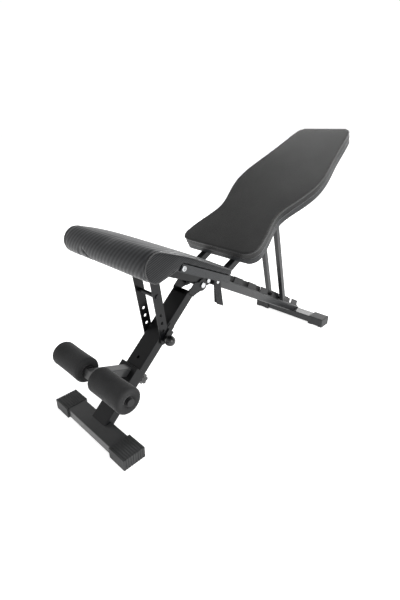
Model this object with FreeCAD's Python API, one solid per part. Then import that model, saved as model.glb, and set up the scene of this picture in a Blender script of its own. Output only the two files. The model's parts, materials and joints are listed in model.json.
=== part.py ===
import FreeCAD, Part
import math
import os

os.makedirs("parts", exist_ok=True)
V = FreeCAD.Vector

# Decline sit-up bench. Millimetres, +Z up, +Y towards the raised end of the backrest, +X to the side of
# the pull pin. The origin is on the floor under the middle of the bench.

# ---- main layout, in the side plane (Y, Z) -------------------------------------------------------
FOLD_Y = -172.82           # fold pivot between the front leg and the main beam
FOLD_Z = 355.0
BEAM_ANGLE = 28.06         # the main beam falls towards the rear by this much
BEAM_WIDTH = 50.0
BEAM_HEIGHT = 31.0
BEAM_WALL = 2.0
BEAM_OVER_FOLD = 26.0      # beam centre line above the fold pivot, square to the beam
POST_ANGLE = 42.44         # the front post rises towards the rear by this much
POST_WIDTH = 68.0
POST_DEPTH = 30.75
POST_WALL = 2.0
POST_OFF_FOLD = 23.2       # post centre line in front of the fold pivot, square to the post
POST_END = 37.0            # post end to fold pivot, along the post

# ---- feet ----------------------------------------------------------------------------------------
FRONT_SPAN = 360.0
FRONT_TUBE_Y = 60.0
FRONT_TUBE_Z = 30.0
FRONT_CAP = (68.0, 70.0, 34.0)
FRONT_BACK_OF_POST = 12.0  # foot centre in front of the post's centre line at the tube's top
REAR_SPAN = 355.0
REAR_TUBE_Y = 50.0
REAR_TUBE_Z = 30.0
REAR_CAP = (68.0, 60.0, 38.0)
FOOT_WALL = 2.0
CAP_FLOOR = 2.5            # rubber under the foot tube
CAP_RIBS = 9

# ---- seat ----------------------------------------------------------------------------------------
PLATE = 3.0                # every bracket and channel wall
GAP = 0.5                  # side gap between plates that turn past one another
SEAT_PIVOT_ALONG = 24.9    # seat pivot behind the fold pivot, along the beam
SEAT_PIVOT_UP = 20.1       # and above it, square to the beam
SEAT_ANGLE = 24.4
SEAT_WIDTH = 369.0
SEAT_FRAME_HEIGHT = 33.0
SEAT_BOARD = 22.0
SEAT_FOAM = 23.0
SEAT_REAR = 90.0           # rear edge of the pad, in front of the seat pivot
SEAT_FLAT = 156.0          # length of the flat cushion before it swells into the roll
ROLL_RADIUS = 41.0
ROLL_AHEAD = 373.0         # roll centre in front of the seat pivot
ROLL_UP = 13.0
SEAT_DROP = 20.0           # degrees the seat can be let down

# ---- seat struts ---------------------------------------------------------------------------------
STRUT_AHEAD = 263.0        # top pivot in front of the seat pivot
STRUT_CLEAR = 0.5          # the round strut heads turn this far below the seat board
STRUT_PIN = 241.0          # top pivot to the hole that is in use
STRUT_PITCH = 27.5
STRUT_HOLES = 4
STRUT_TAIL = 19.0
STRUT_BOLT = 147.0         # spacer bolt above the hole in use
STRUT_LEAN = 8.23          # degrees off plumb at rest
STRUT_OFF_POST = 4.5       # strut inner face outside the post's side
PIN_R = 5.0
BALL_R = 17.0

# ---- leg hold ------------------------------------------------------------------------------------
HOLD_LOW = 164.0           # bracket ends, along the post from the floor line
HOLD_HIGH = 220.0
HOLD_FRONT = 12.6          # bracket web in front of the post
HOLD_BACK = 9.0            # bracket flanges overlap the post's sides by this much
HOLD_BOLT = 199.2
HOLD_NEXT = 50.7           # spare hole above the one in use
ARM_WIDTH = 36.0
ARM_DEPTH = 26.0
AXLE_ALONG = 144.7         # roller axle, along the post and in front of its centre line
AXLE_AHEAD = 131.3
AXLE_R = 9.5
AXLE_HALF = 170.0
ROLLER_R = 38.0
ROLLER_IN = 28.0
ROLLER_LENGTH = 138.0
SLEEVE_R = 13.0
PLUG_R = 11.0              # end plug flange, wider than the sleeve's bore so that it keeps the roller on
RUN = 0.05                 # running clearance on a radius
KNOB_R = 17.0
KNOB_BACK = 22.0

# ---- rack, backrest and prop -----------------------------------------------------------------------
RACK_HALF = 19.5           # rack plates either side of the centre
RACK_START = 183.3         # first tooth's front wall, along the beam from the fold pivot
RACK_PITCH = 98.0
RACK_TEETH = 6
TOOTH_LENGTH = 59.0
TOOTH_HEIGHT = 24.0
TOOTH_HOOK = 7.0
TOOTH_ROUND = 9.0
BACK_PIVOT_ALONG = 48.9    # backrest hinge, along the beam behind the fold pivot
BACK_PIVOT_UP = 18.6       # above the beam's top
BACK_ANGLE = 27.38
BACK_LENGTH = 774.0
BACK_THICK = 48.0
BACK_BOARD = 18.0
BACK_START = 50.0          # lower end of the pad beyond the hinge, along the pad
# half widths of the backrest, each at a share of its length
BACK_HALF = ((0, 118), (0.005, 136), (0.018, 151), (0.042, 160), (0.075, 159), (0.12, 152.5), (0.271, 128),
             (0.4, 156), (0.51, 173), (0.736, 148), (0.95, 120), (0.972, 115), (0.989, 105), (0.997, 91), (1, 76))
BACK_INSET = 3.0           # the board under the cushion is this much smaller all round
RAIL_X = 65.0
RAIL_WIDTH = 22.0
RAIL_HEIGHT = 25.0
RAIL_SHORT = 184.0         # the rails end this far short of the pad's top
HINGE_TUBE_R = 12.0
PROP_PIVOT = 357.0         # hinge to prop pivot, along the rails
PROP_NOTCH = 3             # the notch in use, counted from the front
PROP_IN_NOTCH = 17.0       # bar centre behind the notch's front wall
PROP_LIFT = 0.5            # bar over the notch's floor
PROP_X = 34.5
PROP_SIZE = 18.0
PROP_BAR_R = 6.0
BACK_RAISE = 38.0

# ---- strap -----------------------------------------------------------------------------------------
STRAP_WIDTH = 30.0
STRAP_THICK = 2.5
STRAP_DROP = 92.0
STRAP_ALONG = 60.6
BOLT_R = 5.0


def rad(a):
    return math.radians(a)


def box(x0, x1, y0, y1, z0, z1):
    return Part.makeBox(x1 - x0, y1 - y0, z1 - z0, V(x0, y0, z0))


def plate(points, x0, x1):
    """A flat piece with a straight-sided outline in the side plane, from x0 to x1."""
    face = Part.Face(Part.makePolygon([V(x0, y, z) for y, z in points] + [V(x0, points[0][0], points[0][1])]))
    return face.extrude(V(x1 - x0, 0, 0))


def rod(y, z, r, x0, x1):
    """A round bar along X."""
    return Part.makeCylinder(r, x1 - x0, V(x0, y, z), V(1, 0, 0))


def join(solids):
    out = solids[0]
    for s in solids[1:]:
        out = out.fuse(s)
    return out.removeSplitter()


def group(solids):
    return Part.makeCompound(solids)


class Line:
    """A local frame in the side plane: s runs along it, t square to it."""

    def __init__(self, y, z, angle):
        self.y = y
        self.z = z
        self.e = (math.cos(rad(angle)), math.sin(rad(angle)))
        self.n = (-self.e[1], self.e[0])

    def at(self, s, t):
        return (self.y + s * self.e[0] + t * self.n[0], self.z + s * self.e[1] + t * self.n[1])

    def plate(self, points, x0, x1):
        return plate([self.at(s, t) for s, t in points], x0, x1)

    def bar(self, s0, s1, t0, t1, x0, x1):
        return self.plate([(s0, t0), (s1, t0), (s1, t1), (s0, t1)], x0, x1)

    def rod(self, s, t, r, x0, x1):
        y, z = self.at(s, t)
        return rod(y, z, r, x0, x1)

    def vec(self, x, s, t):
        y, z = self.at(s, t)
        return V(x, y, z)

    def along(self, x, s, t, r, length):
        """A round bar that runs along t."""
        return Part.makeCylinder(r, length, self.vec(x, s, t), V(0, self.n[0], self.n[1]))


def soften(solid, radius, keep):
    """Round the edges that the test picks, if they can be rounded."""
    edges = [e for e in solid.Edges if keep(e)]
    return solid.makeFillet(radius, edges) if edges else solid


def lengthwise(direction):
    def test(e):
        if e.Curve.TypeId != "Part::GeomLine":
            return False
        return abs(abs((e.Vertexes[1].Point - e.Vertexes[0].Point).normalize().dot(direction)) - 1) < 1e-6
    return test


def bolt(y, z, r, half, head_r, head_t):
    """A bolt across the bench with a domed head on one side and a nut on the other."""
    shank = rod(y, z, r, -half - head_t, half)
    head = Part.makeCylinder(head_r, head_t, V(half, y, z), V(1, 0, 0))
    head = soften(head, head_t * 0.45, lambda e: e.BoundBox.XMin > half + head_t - 0.01)
    ring = [V(-half, y + head_r * math.cos(rad(a)), z + head_r * math.sin(rad(a))) for a in range(0, 361, 60)]
    nut = Part.Face(Part.makePolygon(ring)).extrude(V(-head_t * 0.8, 0, 0))
    return join([shank, head, nut])


# ---- local frames --------------------------------------------------------------------------------
beam = Line(FOLD_Y, FOLD_Z, -BEAM_ANGLE)
b0 = BEAM_OVER_FOLD - BEAM_HEIGHT / 2
b1 = BEAM_OVER_FOLD + BEAM_HEIGHT / 2
bx = BEAM_WIDTH / 2
seat_y, seat_z = beam.at(SEAT_PIVOT_ALONG, SEAT_PIVOT_UP)
seat = Line(seat_y, seat_z, -SEAT_ANGLE)

# the front post's line, with s = 0 where it would reach the floor
post_t = POST_OFF_FOLD
pe = (math.cos(rad(POST_ANGLE)), math.sin(rad(POST_ANGLE)))
pn = (-pe[1], pe[0])
top = (FOLD_Y + pn[0] * post_t, FOLD_Z + pn[1] * post_t)
post_run = top[1] / pe[1]
floor_y = top[0] - pe[0] * post_run
post = Line(floor_y, 0.0, POST_ANGLE)
front_top = CAP_FLOOR + FRONT_TUBE_Z
front_y = floor_y + front_top / math.tan(rad(POST_ANGLE)) - FRONT_BACK_OF_POST - FRONT_TUBE_Y / 4
rear_top = CAP_FLOOR + REAR_TUBE_Z + 1.0
rear_y = beam.at(0, BEAM_OVER_FOLD)[0] + (beam.at(0, BEAM_OVER_FOLD)[1] - rear_top) / math.tan(rad(BEAM_ANGLE))
beam_end = (rear_y - FOLD_Y) / math.cos(rad(BEAM_ANGLE)) + 80
px = POST_WIDTH / 2
pd = POST_DEPTH / 2

parts = {}

# ==== rear frame ====================================================================================
# The main beam: a rectangular tube cut square under the seat and mitred flat on the rear foot's top.
outer = beam.bar(-1.0, beam_end, b0, b1, -bx, bx)
outer = soften(outer, 3.0, lengthwise(V(0, beam.e[0], beam.e[1])))
inner = beam.bar(-9.0, beam_end + 9, b0 + BEAM_WALL, b1 - BEAM_WALL, -bx + BEAM_WALL, bx - BEAM_WALL)
tube = outer.cut(inner)
tube = tube.cut(box(-bx - 9, bx + 9, rear_y - 300, rear_y + 400, -200, rear_top))
parts["main_beam"] = tube.cut(seat.rod(0, 0, BOLT_R, -bx - 9, bx + 9))

# The rear foot: a closed tube across the bench between two soft end caps.
cx, cy, cz = REAR_CAP
half = REAR_SPAN / 2
r0 = rear_top - REAR_TUBE_Z
tube = box(-half + 10, half - 10, rear_y - REAR_TUBE_Y / 2, rear_y + REAR_TUBE_Y / 2, r0, rear_top)
tube = soften(tube, 3.0, lengthwise(V(1, 0, 0)))
hole = box(-half - 10, half + 10, rear_y - REAR_TUBE_Y / 2 + FOOT_WALL, rear_y + REAR_TUBE_Y / 2 - FOOT_WALL,
           r0 + FOOT_WALL, rear_top - FOOT_WALL)
parts["rear_foot_tube"] = tube.cut(hole)
full = box(-half, half, rear_y - REAR_TUBE_Y / 2, rear_y + REAR_TUBE_Y / 2, r0, rear_top)
full = soften(full, 3.0, lengthwise(V(1, 0, 0)))
tube_space = full.common(box(-half + 10, half - 10, rear_y - 200, rear_y + 200, 0, 200))
for side, name in ((-1, "left"), (1, "right")):
    x0, x1 = sorted((side * half, side * (half - cx)))
    cap = box(x0, x1, rear_y - cy / 2, rear_y + cy / 2, 0, cz)
    cap = soften(cap, 4.0, lambda e: e.BoundBox.ZMin > 1)
    # the underside is relieved between two pads
    cap = cap.cut(box(x0 + cx * 0.28, x1 - cx * 0.28, rear_y - cy, rear_y + cy, -1, 1.8))
    parts["rear_foot_cap_" + name] = cap.cut(tube_space)

# The rack: two toothed plates welded on top of the beam, with a hooked tip at the front of each tooth.
NOTCH = RACK_PITCH - TOOTH_LENGTH
for side, name in ((-1, "left"), (1, "right")):
    x0, x1 = sorted((side * (RACK_HALF - PLATE / 2), side * (RACK_HALF + PLATE / 2)))
    teeth = []
    for i in range(RACK_TEETH):
        s0 = RACK_START + i * RACK_PITCH
        s1 = s0 + TOOTH_LENGTH
        c = TOOTH_ROUND
        teeth += [(s0, b1 + 3), (s0, b1 + TOOTH_HEIGHT - 6), (s0 - TOOTH_HOOK, b1 + TOOTH_HEIGHT)]
        teeth += [(s1 - c, b1 + TOOTH_HEIGHT), (s1 - c * 0.3, b1 + TOOTH_HEIGHT - c * 0.3)]
        teeth += [(s1, b1 + TOOTH_HEIGHT - c), (s1, b1 + 9), (s1 + 6, b1 + 3)]
    last = RACK_START + (RACK_TEETH - 1) * RACK_PITCH + TOOTH_LENGTH
    outline = [(RACK_START - 4, b1), (RACK_START - 4, b1 + 3)] + teeth + [(last + 12, b1 + 3), (last + 12, b1)]
    parts["rack_" + name] = beam.plate(outline, x0, x1)

# Two cheek plates on the beam's front end carry the fold pivot below it and the seat pivot in it.
lug_w = bx + PLATE
for side, name in ((-1, "left"), (1, "right")):
    x0, x1 = sorted((side * bx, side * lug_w))
    foot = beam.rod(0, 0, 14.0, x0, x1)
    web = beam.plate([(-9, b0 - 1), (-14, 0), (14, 0), (34, b0 + 3), (34, b0 + 14), (-1, b0 + 14)], x0, x1)
    eye = seat.rod(0, 0, 12.0, x0, x1)
    cheek = join([web, foot, eye])
    cheek = cheek.cut(beam.rod(0, 0, BOLT_R, x0 - 1, x1 + 1))
    parts["cheek_" + name] = cheek.cut(seat.rod(0, 0, BOLT_R, x0 - 1, x1 + 1))

# The fold bolt runs from ear to ear through the cheeks. The seat bolt runs through the seat frame.
ear_x0 = px
ear_x1 = px + PLATE
fold_y, fold_z = beam.at(0, 0)
parts["fold_bolt"] = bolt(fold_y, fold_z, BOLT_R, ear_x1 + 0.3, 9.5, 5.0)
spacer = beam.rod(0, 0, 8.0, -bx, bx).cut(beam.rod(0, 0, BOLT_R, -bx - 1, bx + 1))
parts["fold_spacer"] = spacer
frame_in = lug_w + GAP
frame_out = frame_in + PLATE
parts["seat_bolt"] = bolt(seat_y, seat_z, BOLT_R, frame_out + 0.3, 8.0, 5.0)

# The backrest hinge bracket: two plates on the beam's sides with a bore for the hinge tube.
hinge_t = b1 + BACK_PIVOT_UP
back_y, back_z = beam.at(BACK_PIVOT_ALONG, hinge_t)
for side, name in ((-1, "left"), (1, "right")):
    x0, x1 = sorted((side * bx, side * (bx + PLATE)))
    s = BACK_PIVOT_ALONG
    web = beam.plate([(s - 15, hinge_t), (s - 8, b0 + 6), (s + 26, b0 + 6), (s + 15, hinge_t)], x0, x1)
    web = join([web, beam.rod(s, hinge_t, 17.0, x0, x1)])
    parts["hinge_bracket_" + name] = web.cut(beam.rod(s, hinge_t, HINGE_TUBE_R + RUN, x0 - 1, x1 + 1))

# A webbing strap, doubled, hangs on a small bolt in the beam's side and holds the folded bench shut.
sy, sz = beam.at(STRAP_ALONG, (b0 + b1) / 2)
sx = ear_x1 + 2.0
spine = [(-STRAP_WIDTH / 2, 8), (STRAP_WIDTH / 2, 8), (STRAP_WIDTH / 2 + 4, -STRAP_DROP * 0.6),
         (STRAP_WIDTH / 2 + 7, -STRAP_DROP), (-STRAP_WIDTH / 2 - 4, -STRAP_DROP * 0.72),
         (-STRAP_WIDTH / 2, -STRAP_DROP * 0.4)]
web = plate([(sy + a, sz + b) for a, b in spine], sx, sx + 2 * STRAP_THICK)
parts["strap"] = web.cut(rod(sy, sz, 3.0, sx - 1, sx + 9))
post_bolt = rod(sy, sz, 3.0, bx + PLATE, sx + 2 * STRAP_THICK)
washer = rod(sy, sz, 5.0, bx + PLATE, sx)
head = rod(sy, sz, 6.5, sx + 2 * STRAP_THICK, sx + 2 * STRAP_THICK + 2.5)
parts["strap_bolt"] = join([post_bolt, washer, head])

# ==== front leg =====================================================================================
post_end = post_run - POST_END
outer = post.bar(-60, post_end, -pd, pd, -px, px)
outer = soften(outer, 3.0, lengthwise(V(0, post.e[0], post.e[1])))
inner = post.bar(-90, post_end + 9, -pd + POST_WALL, pd - POST_WALL, -px + POST_WALL, px - POST_WALL)
tube = outer.cut(inner)
f0 = CAP_FLOOR
foot = box(-px - 9, px + 9, front_y - FRONT_TUBE_Y / 2, front_y + FRONT_TUBE_Y / 2, f0, front_top)
ahead = box(-px - 9, px + 9, front_y - 300, front_y + FRONT_TUBE_Y / 2, -100, front_top)
tube = tube.cut(ahead).cut(box(-px - 9, px + 9, front_y - 300, front_y + 300, -100, f0 + 6))
# a slot in the front wall's end lets the seat frame settle into the post when the seat is let down
tube = tube.cut(post.bar(post_end - 24, post_end + 9, 0, pd + 5, -px + POST_WALL, px - POST_WALL))
strut_y, strut_z = seat.at(-STRUT_AHEAD, 0)
pin_y = strut_y + STRUT_PIN * math.sin(rad(STRUT_LEAN))
pin_z = strut_z - STRUT_PIN * math.cos(rad(STRUT_LEAN))
tube = tube.cut(rod(pin_y, pin_z, PIN_R + 0.3, -px - 9, px + 9))
for s in (HOLD_BOLT, HOLD_BOLT + HOLD_NEXT):
    tube = tube.cut(post.along(0, s, -pd - 5, BOLT_R, POST_DEPTH + 10))
parts["front_post"] = tube

# The head ears: rounded plates over the post's end, one each side, that hang on the fold bolt.
for side, name in ((-1, "left"), (1, "right")):
    x0, x1 = sorted((side * ear_x0, side * ear_x1))
    ps = post_run
    ear = post.plate([(post_end - 14, -pd + 1), (post_end - 14, pd - 1), (ps - 14, pd - 1), (ps, -6),
                      (ps + 6, -POST_OFF_FOLD), (ps, -POST_OFF_FOLD - 20), (post_end, -pd - 4)], x0, x1)
    ear = join([ear, beam.rod(0, 0, 20.0, x0, x1)])
    parts["ear_" + name] = ear.cut(beam.rod(0, 0, BOLT_R + RUN, x0 - 1, x1 + 1))

# The front foot: a tube across the bench with ribbed rubber caps.
cx, cy, cz = FRONT_CAP
half = FRONT_SPAN / 2
tube = box(-half + 10, half - 10, front_y - FRONT_TUBE_Y / 2, front_y + FRONT_TUBE_Y / 2, f0, front_top)
tube = soften(tube, 3.0, lengthwise(V(1, 0, 0)))
hole = box(-half, half, front_y - FRONT_TUBE_Y / 2 + FOOT_WALL, front_y + FRONT_TUBE_Y / 2 - FOOT_WALL,
           f0 + FOOT_WALL, front_top - FOOT_WALL)
parts["front_foot_tube"] = tube.cut(hole)
full = box(-half, half, front_y - FRONT_TUBE_Y / 2, front_y + FRONT_TUBE_Y / 2, f0, front_top)
full = soften(full, 3.0, lengthwise(V(1, 0, 0)))
tube_space = full.common(box(-half + 10, half - 10, front_y - 200, front_y + 200, 0, 200))
for side, name in ((-1, "left"), (1, "right")):
    x0, x1 = sorted((side * half, side * (half - cx)))
    cap = box(x0, x1, front_y - cy / 2, front_y + cy / 2, 0, cz)
    for i in range(CAP_RIBS - 1):
        gy = front_y - cy / 2 + cy * (i + 1) / CAP_RIBS
        cap = cap.cut(box(x0 - 1, x1 + 1, gy - 0.9, gy + 0.9, cz - 1.2, cz + 1))
        ex0, ex1 = sorted((side * (half - 1.4), side * (half + 1)))
        cap = cap.cut(box(ex0, ex1, gy - 0.9, gy + 0.9, -1, cz + 1))
    parts["front_foot_cap_" + name] = cap.cut(tube_space)

# The pull-pin bracket: a joggled plate welded to the post's side behind the strut.
strut_x0 = px + STRUT_OFF_POST
strut_x1 = strut_x0 + PLATE
pin_local_s = (pin_y - post.y) * post.e[0] + (pin_z - post.z) * post.e[1]
pin_local_t = (pin_y - post.y) * post.n[0] + (pin_z - post.z) * post.n[1]
out_x = strut_x1 + 2.0
strut_half = SEAT_FRAME_HEIGHT / 2 - STRUT_CLEAR
rise = strut_half / math.sin(rad(90 - POST_ANGLE + STRUT_LEAN)) + 9
foot_p = post.bar(pin_local_s + rise, pin_local_s + rise + 20, -pd + 3, pd - 3, px, px + PLATE)
step = post.bar(pin_local_s + rise, pin_local_s + rise + PLATE, -pd + 3, pd - 3, px, out_x + PLATE)
face = post.bar(pin_local_s - 11, pin_local_s + rise + PLATE, -pd + 3, pd - 3, out_x, out_x + PLATE)
neck = rod(pin_y, pin_z, 9.0, out_x + PLATE, out_x + PLATE + 8)
housing = join([foot_p, step, face, neck])
parts["pin_bracket"] = housing.cut(rod(pin_y, pin_z, PIN_R + RUN, out_x - 1, out_x + PLATE + 9))

# The leg hold: a channel over the post's front, with an arm that reaches forward to the roller axle.
web_t = pd + HOLD_FRONT
hold_x0 = px + 1.0
hold_x1 = hold_x0 + PLATE
hold = post.bar(HOLD_LOW, HOLD_HIGH, web_t, web_t + PLATE, -hold_x1, hold_x1)
for side in (-1, 1):
    x0, x1 = sorted((side * hold_x0, side * hold_x1))
    hold = hold.fuse(post.bar(HOLD_LOW, HOLD_HIGH, pd - HOLD_BACK, web_t + PLATE, x0, x1))
hold = hold.removeSplitter()
parts["leg_hold_channel"] = hold.cut(post.along(0, HOLD_BOLT, web_t - 1, BOLT_R, PLATE + 2))
spacer_block = post.bar(HOLD_BOLT - 11, HOLD_BOLT + 11, pd, web_t, -14, 14)
parts["leg_hold_spacer"] = spacer_block.cut(post.along(0, HOLD_BOLT, pd - 1, BOLT_R, HOLD_FRONT + 2))
arm_y, arm_z = post.at(HOLD_BOLT - 2, web_t + PLATE)
ay, az = post.at(AXLE_ALONG, AXLE_AHEAD)
arm = Line(arm_y, arm_z, math.degrees(math.atan2(az - arm_z, ay - arm_y)))
ARM_LENGTH = math.hypot(ay - arm_y, az - arm_z)
body = arm.bar(-40, ARM_LENGTH + 16, -ARM_DEPTH / 2, ARM_DEPTH / 2, -ARM_WIDTH / 2, ARM_WIDTH / 2)
body = soften(body, 3.0, lengthwise(V(0, arm.e[0], arm.e[1])))
hollow = arm.bar(-60, ARM_LENGTH - 20, -ARM_DEPTH / 2 + 2, ARM_DEPTH / 2 - 2, -ARM_WIDTH / 2 + 2, ARM_WIDTH / 2 - 2)
body = body.cut(hollow)
body = body.cut(post.bar(-200, 700, -200, web_t + PLATE, -99, 99))
body = body.cut(arm.rod(ARM_LENGTH, 0, AXLE_R, -99, 99))
parts["leg_hold_arm"] = body
parts["roller_axle"] = rod(ay, az, AXLE_R, -AXLE_HALF, AXLE_HALF).cut(rod(ay, az, AXLE_R - 2, -999, 999))
collars = []
for side in (-1, 1):
    x0, x1 = sorted((side * (ARM_WIDTH / 2 + 0.2), side * (ROLLER_IN - 0.5)))
    collars.append(rod(ay, az, SLEEVE_R + 3, x0, x1).cut(rod(ay, az, AXLE_R, -99, 99)))
parts["axle_collars"] = group(collars)
for side, name in ((-1, "left"), (1, "right")):
    x0, x1 = sorted((side * ROLLER_IN, side * (ROLLER_IN + ROLLER_LENGTH)))
    foam = rod(ay, az, ROLLER_R, x0, x1)
    foam = soften(foam, 7.0, lambda e: e.Curve.TypeId == "Part::GeomCircle")
    parts["roller_foam_" + name] = foam.cut(rod(ay, az, SLEEVE_R, x0 - 1, x1 + 1))
    parts["roller_sleeve_" + name] = rod(ay, az, SLEEVE_R, x0, x1).cut(rod(ay, az, AXLE_R + RUN, x0 - 1, x1 + 1))
    x0, x1 = sorted((side * AXLE_HALF, side * (AXLE_HALF + 3)))
    flange = rod(ay, az, PLUG_R, x0, x1)
    x2, x3 = sorted((side * AXLE_HALF, side * (AXLE_HALF - 14)))
    parts["axle_plug_" + name] = join([flange, rod(ay, az, AXLE_R - 2, x2, x3)])

# The hand knob behind the post, a lobed grip on a stud that clamps the leg hold.
kt = -pd - KNOB_BACK
grip = post.along(0, HOLD_BOLT, kt - 22, KNOB_R, 22)
for i in range(6):
    a = rad(60 * i + 30)
    s = HOLD_BOLT + (KNOB_R + 3) * math.cos(a)
    grip = grip.cut(post.along((KNOB_R + 3) * math.sin(a), s, kt - 30, 6.0, 40))
hub = post.along(0, HOLD_BOLT, kt, 9.0, KNOB_BACK - 0.5)
parts["hand_knob"] = join([grip, hub])
stud = post.along(0, HOLD_BOLT, -pd - 0.5, BOLT_R - RUN, web_t + PLATE + pd + 0.5 + 4)
nut = post.along(0, HOLD_BOLT, web_t + PLATE + 0.3, 7.0, 4.0)
parts["knob_stud"] = join([stud, nut]).cut(post.bar(0, 400, -pd - 99, -pd - 0.5, -50, 50))

# ==== pull pin ======================================================================================
tip = strut_x1 + 0.6
ball_x = out_x + PLATE + 18.5
pin = rod(pin_y, pin_z, PIN_R, tip, ball_x - 8)
parts["pull_pin"] = pin
ball = Part.makeSphere(BALL_R, V(ball_x, pin_y, pin_z)).cut(rod(pin_y, pin_z, PIN_R, 0, ball_x - 8))
parts["pin_ball"] = ball.cut(box(0, out_x + PLATE + 8.4, -999, 999, 0, 999))

# ==== seat ==========================================================================================
h = SEAT_FRAME_HEIGHT / 2
front_s = -STRUT_AHEAD - 19
skin = seat.bar(front_s, 0, -h, h, -frame_out, frame_out)
skin = skin.fuse(seat.rod(0, 0, h, -frame_out, frame_out)).removeSplitter()
core = seat.bar(front_s - 9, 40, -h - 9, h - PLATE, -frame_in, frame_in)
channel = skin.cut(core)
channel = channel.cut(seat.bar(-26, 40, h - PLATE - 6, h + 9, -frame_in, frame_in))
# slots in the side walls let the walls pass over the fold bolt as the seat tips
fold_r = math.hypot(SEAT_PIVOT_ALONG, SEAT_PIVOT_UP)
fold_a = math.degrees(math.atan2(fold_z - seat_z, fold_y - seat_y))
slot = Part.makeCylinder(fold_r + BOLT_R + 1.5, 300, V(-150, seat_y, seat_z), V(1, 0, 0))
slot = slot.cut(Part.makeCylinder(fold_r - BOLT_R - 1.5, 300, V(-150, seat_y, seat_z), V(1, 0, 0)))
wedge_pts = [(seat_y, seat_z)]
for k in range(0, 7):
    a = rad(fold_a - SEAT_DROP - 12 + k * 12)
    wedge_pts.append((seat_y + 90 * math.cos(a), seat_z + 90 * math.sin(a)))
channel = channel.cut(slot.common(plate(wedge_pts, -150, 150)))
channel = channel.cut(seat.rod(0, 0, BOLT_R + RUN, -99, 99))
parts["seat_frame"] = channel.cut(seat.rod(-STRUT_AHEAD, 0, BOLT_R, -99, 99))

sw = SEAT_WIDTH / 2
under = h
mid = under + SEAT_BOARD
upper = mid + SEAT_FOAM
board_s = -ROLL_AHEAD + ROLL_RADIUS * 1.78
board = seat.bar(board_s, -SEAT_REAR - 2, under, mid, -sw + 1.5, sw - 1.5)
parts["seat_board"] = soften(board, 3.0, lengthwise(V(1, 0, 0)))
# cushion outline: flat behind, swelling forward into the roll that hangs below the board
rs = -ROLL_AHEAD


def roll(a):
    return seat.vec(-sw, rs + ROLL_RADIUS * math.cos(rad(a)), ROLL_UP + ROLL_RADIUS * math.sin(rad(a)))


flat_s = -SEAT_REAR - SEAT_FLAT
p_flat = seat.vec(-sw, flat_s, upper)
p_rear_top = seat.vec(-sw, -SEAT_REAR, upper - 3)
p_rear_low = seat.vec(-sw, -SEAT_REAR, mid)
p_front_low = seat.vec(-sw, board_s - 0.5, mid)
p_notch = seat.vec(-sw, board_s - 0.5, under + 1)
p_lip = seat.vec(-sw, board_s - 12, under)
crown = Part.Arc(p_flat, seat.vec(-sw, rs + 42, upper - 3.2), roll(112)).toShape()
circle = Part.Arc(roll(112), roll(205), roll(306)).toShape()
edges = [Part.makeLine(p_rear_low, p_rear_top), Part.makeLine(p_rear_top, p_flat), crown, circle,
         Part.makeLine(roll(306), p_lip), Part.makeLine(p_lip, p_notch), Part.makeLine(p_notch, p_front_low),
         Part.makeLine(p_front_low, p_rear_low)]
parts["seat_cushion"] = Part.Face(Part.Wire(edges)).extrude(V(2 * sw, 0, 0))
studs = []
for side in (-1, 1):
    x0, x1 = sorted((side * (sw - 1.5), side * (sw + 2.0)))
    studs.append(seat.rod(board_s + 9, (under + mid) / 2, 8.0, x0, x1))
parts["board_studs"] = group(studs)

# ==== seat struts ===================================================================================
strut = Line(strut_y, strut_z, -90 + STRUT_LEAN)
for side, name in ((-1, "left"), (1, "right")):
    x0, x1 = sorted((side * strut_x0, side * strut_x1))
    w = strut_half
    bar = strut.bar(-w / 2, STRUT_PIN + STRUT_TAIL, -w, w, x0, x1)
    bar = soften(bar, 6.0, lengthwise(V(1, 0, 0)))
    bar = bar.cut(strut.bar(-w, 0, -w - 1, w + 1, x0 - 1, x1 + 1)).fuse(strut.rod(0, 0, w, x0, x1)).removeSplitter()
    bar = bar.cut(strut.rod(0, 0, BOLT_R + RUN, x0 - 1, x1 + 1))
    bar = bar.cut(strut.rod(STRUT_PIN - STRUT_BOLT, 0, BOLT_R - 1, x0 - 1, x1 + 1))
    for i in range(STRUT_HOLES):
        bar = bar.cut(strut.rod(STRUT_PIN - i * STRUT_PITCH, 0, PIN_R + 0.3, x0 - 1, x1 + 1))
    parts["strut_" + name] = bar
parts["strut_bolt"] = bolt(strut_y, strut_z, BOLT_R, strut_x1 + 0.3, 8.0, 4.5)
sp = []
for side in (-1, 1):
    x0, x1 = sorted((side * frame_out, side * (strut_x0 - 0.2)))
    sp.append(strut.rod(0, 0, 8.0, x0, x1).cut(strut.rod(0, 0, BOLT_R, -99, 99)))
parts["strut_spacers"] = group(sp)
my, mz = strut.at(STRUT_PIN - STRUT_BOLT, 0)
parts["strut_tie_bolt"] = join([rod(my, mz, BOLT_R - 1, -strut_x1, strut_x1), rod(my, mz, 6.5, -strut_x0, strut_x0),
                                rod(my, mz, 7.5, strut_x1, strut_x1 + 3), rod(my, mz, 7.5, -strut_x1 - 3, -strut_x1)])

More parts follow.
